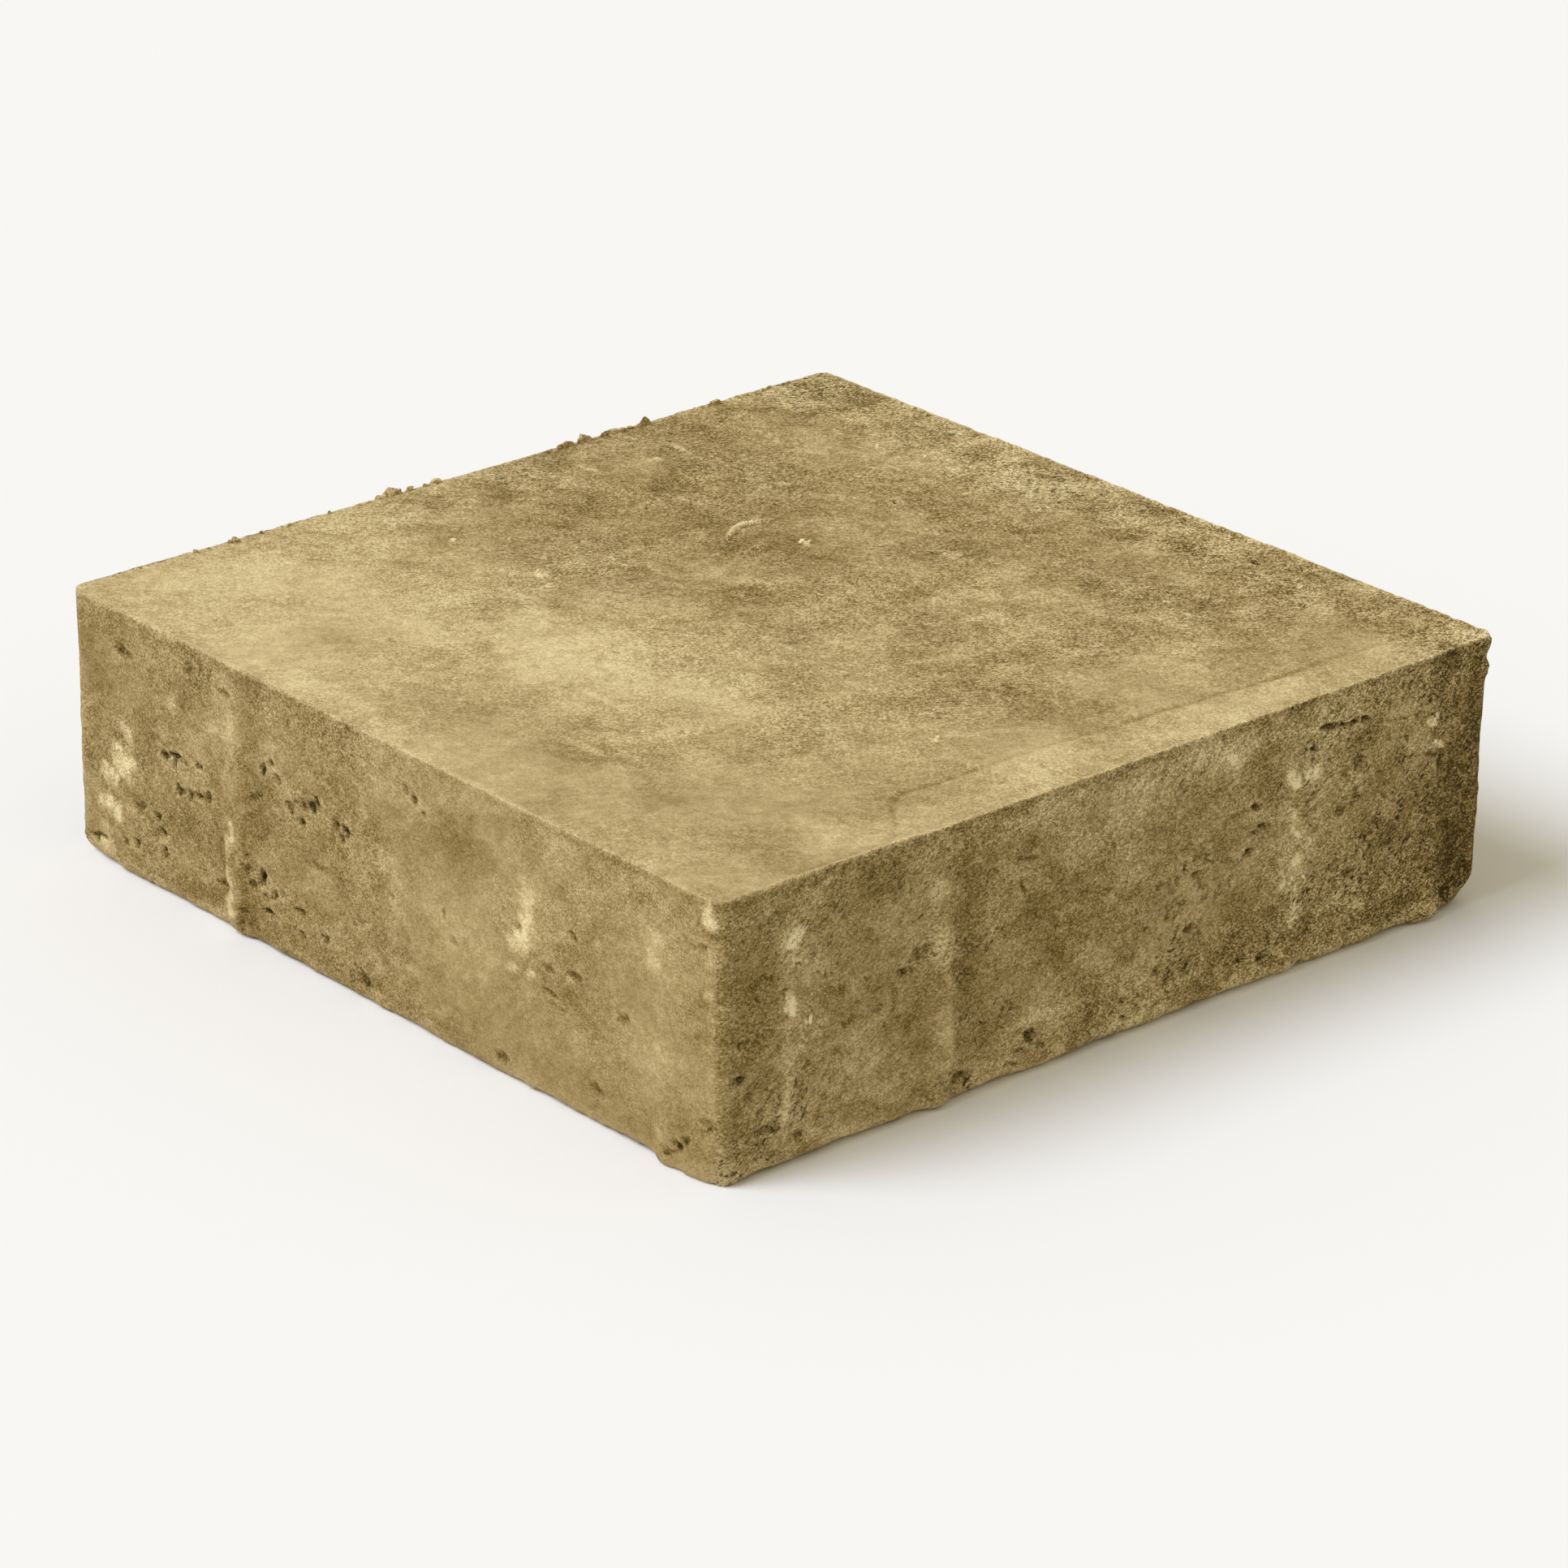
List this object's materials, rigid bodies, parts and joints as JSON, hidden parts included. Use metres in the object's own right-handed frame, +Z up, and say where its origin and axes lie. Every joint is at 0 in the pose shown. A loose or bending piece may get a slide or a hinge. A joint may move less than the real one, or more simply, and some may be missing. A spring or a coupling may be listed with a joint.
{
  "type": "concrete paving block",
  "caption": "Square pressed concrete paving block: fine face layer bonded to a coarser core, with upright spacer nibs cast on all sides to set the joint gap.",
  "frame": {"origin": "centre of the bed face, at its lowest plane", "axes": "+Z up out of the wearing face; X and Y square to the four sides"},
  "size_m": [0.212, 0.212, 0.06],
  "materials": {
    "core_mix": "coarse pressed concrete, open and pitted",
    "face_mix": "fine pressed concrete, sandy and slightly dusty"
  },
  "bodies": {
    "root": {"core_block": "core_mix", "face_layer": "face_mix"}
  },
  "joints": []
}
